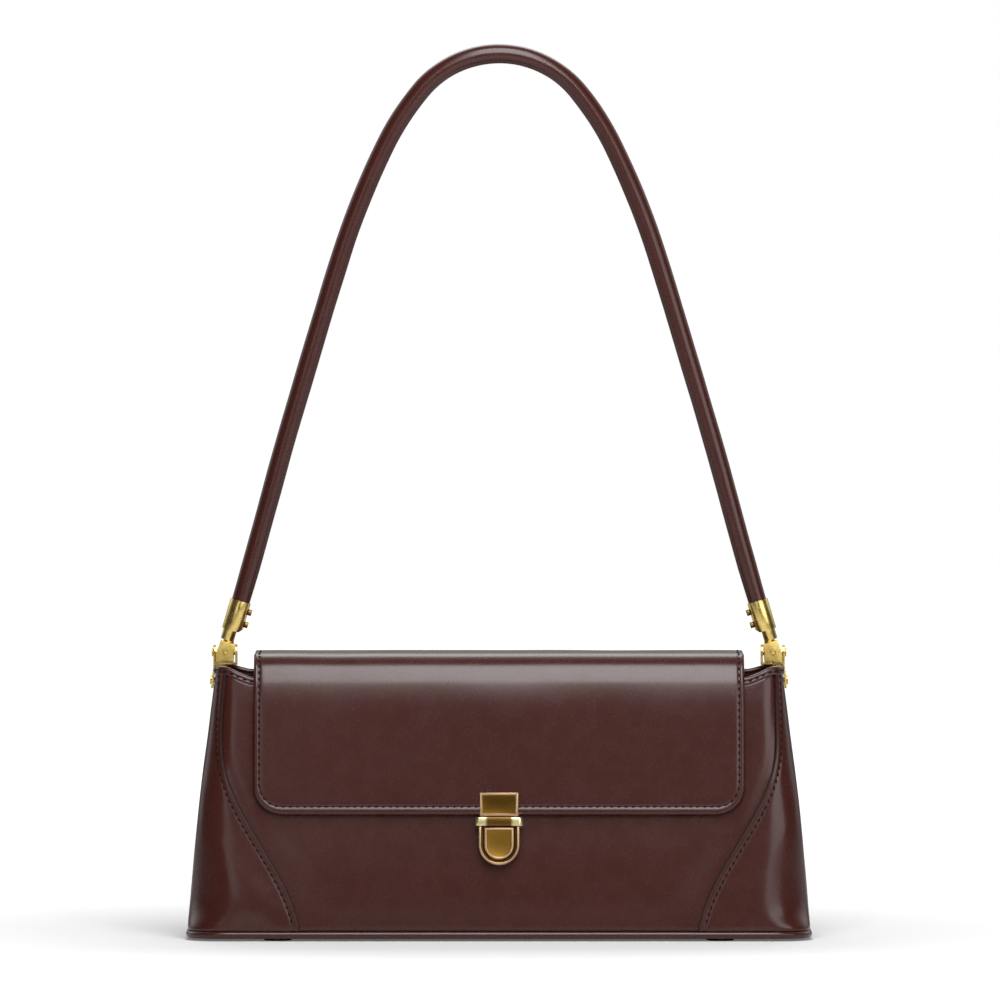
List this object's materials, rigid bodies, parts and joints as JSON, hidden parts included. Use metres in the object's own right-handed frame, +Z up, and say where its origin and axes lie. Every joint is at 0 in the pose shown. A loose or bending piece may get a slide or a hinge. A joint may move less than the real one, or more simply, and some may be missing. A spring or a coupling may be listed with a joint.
{
  "type": "shoulder bag",
  "caption": "Small structured flap bag in smooth dark leather with a rolled shoulder handle on side clips and a push-button tongue lock.",
  "frame": {"origin": "on the table under the middle of the bag", "axes": "+Z up, +X to the viewer's right seen from the front, -Y out of the bag's front"},
  "size_m": [0.2636, 0.0728, 0.3766],
  "materials": {
    "leather": "smooth semi-gloss dark burgundy-brown leather",
    "lining": "dark woven lining",
    "board": "grey stiffening board",
    "cord": "soft twisted filler cord",
    "gold_metal": "polished pale gold plating",
    "antique_metal": "darkened antique brass, brighter on the edges",
    "steel": "plain stamped steel"
  },
  "bodies": {
    "bag": {"front_panel": "leather", "back_panel": "leather", "left_gusset": "leather", "right_gusset": "leather", "left_gusset_board": "board", "right_gusset_board": "board", "base_panel": "leather", "base_board": "board", "base_feet": "antique_metal", "mouth_binding": "leather", "lining": "lining", "flap_tail": "leather", "lock_base_plate": "steel", "lock_case": "antique_metal", "lock_mouth_band": "gold_metal", "lock_base_rivets": "steel", "lock_washer": "steel", "lock_spring": "steel", "left_side_clip": "gold_metal", "right_side_clip": "gold_metal", "clip_rivets": "gold_metal"},
    "flap": {"flap_leather": "leather", "flap_lining": "leather", "lock_flap_plate": "antique_metal", "lock_flap_backplate": "steel", "lock_flap_rivets": "steel"},
    "button": {"lock_button": "antique_metal"},
    "handle": {"strap": "leather", "strap_core": "cord", "left_ferrule": "gold_metal", "right_ferrule": "gold_metal", "ferrule_screws": "antique_metal", "left_knuckle": "gold_metal", "right_knuckle": "gold_metal", "pivot_pins": "gold_metal", "pin_set_screws": "antique_metal"}
  },
  "joints": [
    {"name": "flap_fold", "type": "hinge", "parent": "bag", "child": "flap", "pos_m": [0, 0.0215, 0.1175], "axis": [-1, 0, 0], "range_deg": [0, 45]},
    {"name": "handle_swing", "type": "hinge", "parent": "bag", "child": "handle", "pos_m": [0, 0, 0.12025], "axis": [-1, 0, 0], "range_deg": [0, 78]},
    {"name": "button_push", "type": "slide", "parent": "bag", "child": "button", "axis": [0, 0.9932, -0.1163], "range_m": [0, 0.0009], "stiffness_N_per_m": 900, "springref_m": -0.0015, "deforming": ["lock_spring"]}
  ]
}
